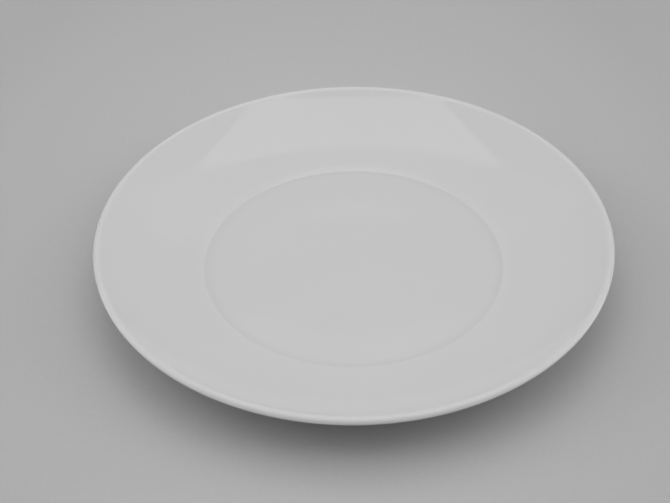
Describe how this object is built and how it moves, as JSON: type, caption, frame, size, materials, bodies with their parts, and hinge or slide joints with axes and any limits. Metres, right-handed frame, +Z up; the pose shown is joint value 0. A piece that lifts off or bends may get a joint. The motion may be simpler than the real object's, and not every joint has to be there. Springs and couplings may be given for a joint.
{
  "type": "soup cup saucer",
  "caption": "Round white glazed porcelain saucer for a soup cup: flat well inside a low step, upward-curving flange with a rounded lip, and a bare foot ring underneath.",
  "frame": {"origin": "on the saucer's axis, in the plane of the foot ring's bearing face", "axes": "+Z up along the axis that the saucer was turned about, out of the well; X and Y in the plane that it stands on"},
  "size_m": [0.18, 0.18, 0.02],
  "materials": {
    "bare_porcelain": "matte, ground smooth on the bearing face",
    "glaze": "gloss"
  },
  "bodies": {
    "root": {"porcelain_body": "bare_porcelain", "outer_glaze": "glaze", "foot_recess_glaze": "glaze"}
  },
  "joints": []
}
